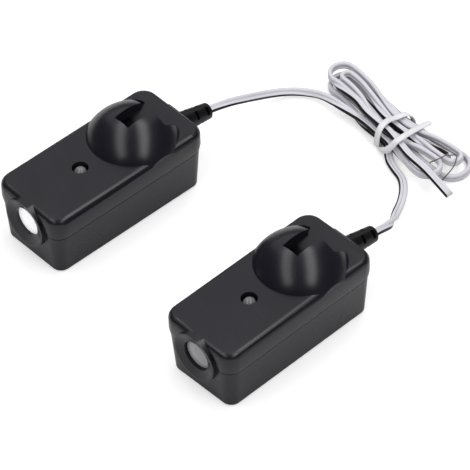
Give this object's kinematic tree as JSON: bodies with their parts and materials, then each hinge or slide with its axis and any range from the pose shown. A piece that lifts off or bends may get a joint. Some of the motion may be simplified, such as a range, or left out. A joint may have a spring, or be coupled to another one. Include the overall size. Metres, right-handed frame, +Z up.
{
  "type": "gate safety photocell",
  "caption": "Pair of black plastic beam sensors with round lenses, ball-shaped swivel seats with bolt slots, ribbed strain reliefs, and flat twin leads tied in one hank.",
  "frame": {"origin": "middle of the pair on the table, under the middle of the box round both housings", "axes": "+Z up, +X from the lenses towards the leads, +Y from the receiver towards the sender"},
  "size_m": [0.1581, 0.1296, 0.0379],
  "materials": {
    "housing": "fine satin",
    "lens_pale": "frosted",
    "lens_grey": "frosted",
    "gasket": "matt",
    "board": "solder mask",
    "emitter": "clear tinted",
    "photodiode": "dark resin",
    "component_black": "moulded",
    "clear_resin": "clear",
    "capacitor_sleeve": "sleeve",
    "resistor_body": "lacquer",
    "can": "tinned",
    "relief": "matt",
    "lead": "satin",
    "copper": "stranded copper",
    "tie": "satin"
  },
  "bodies": {
    "root": {"sender_base": "housing", "sender_cover": "housing", "sender_lens": "lens_pale", "sender_lens_gasket": "gasket", "sender_circuit_board": "board", "sender_emitter": "emitter", "sender_driver_transistor": "component_black", "sender_indicator_led": "clear_resin", "sender_led_spacer": "component_black", "sender_chip": "component_black", "sender_capacitor": "capacitor_sleeve", "sender_resistors": "resistor_body", "sender_wire_tails": "lead", "sender_strain_relief": "relief", "sender_lead": "lead", "sender_hank": "lead", "receiver_base": "housing", "receiver_cover": "housing", "receiver_lens": "lens_grey", "receiver_lens_gasket": "gasket", "receiver_circuit_board": "board", "receiver_photodiode": "photodiode", "receiver_shield_can": "can", "receiver_indicator_led": "clear_resin", "receiver_led_spacer": "component_black", "receiver_chip": "component_black", "receiver_capacitor": "capacitor_sleeve", "receiver_resistors": "resistor_body", "receiver_wire_tails": "lead", "receiver_strain_relief": "relief", "receiver_lead": "lead", "receiver_hank": "lead", "receiver_bare_ends": "copper", "twist_tie": "tie"}
  },
  "joints": []
}
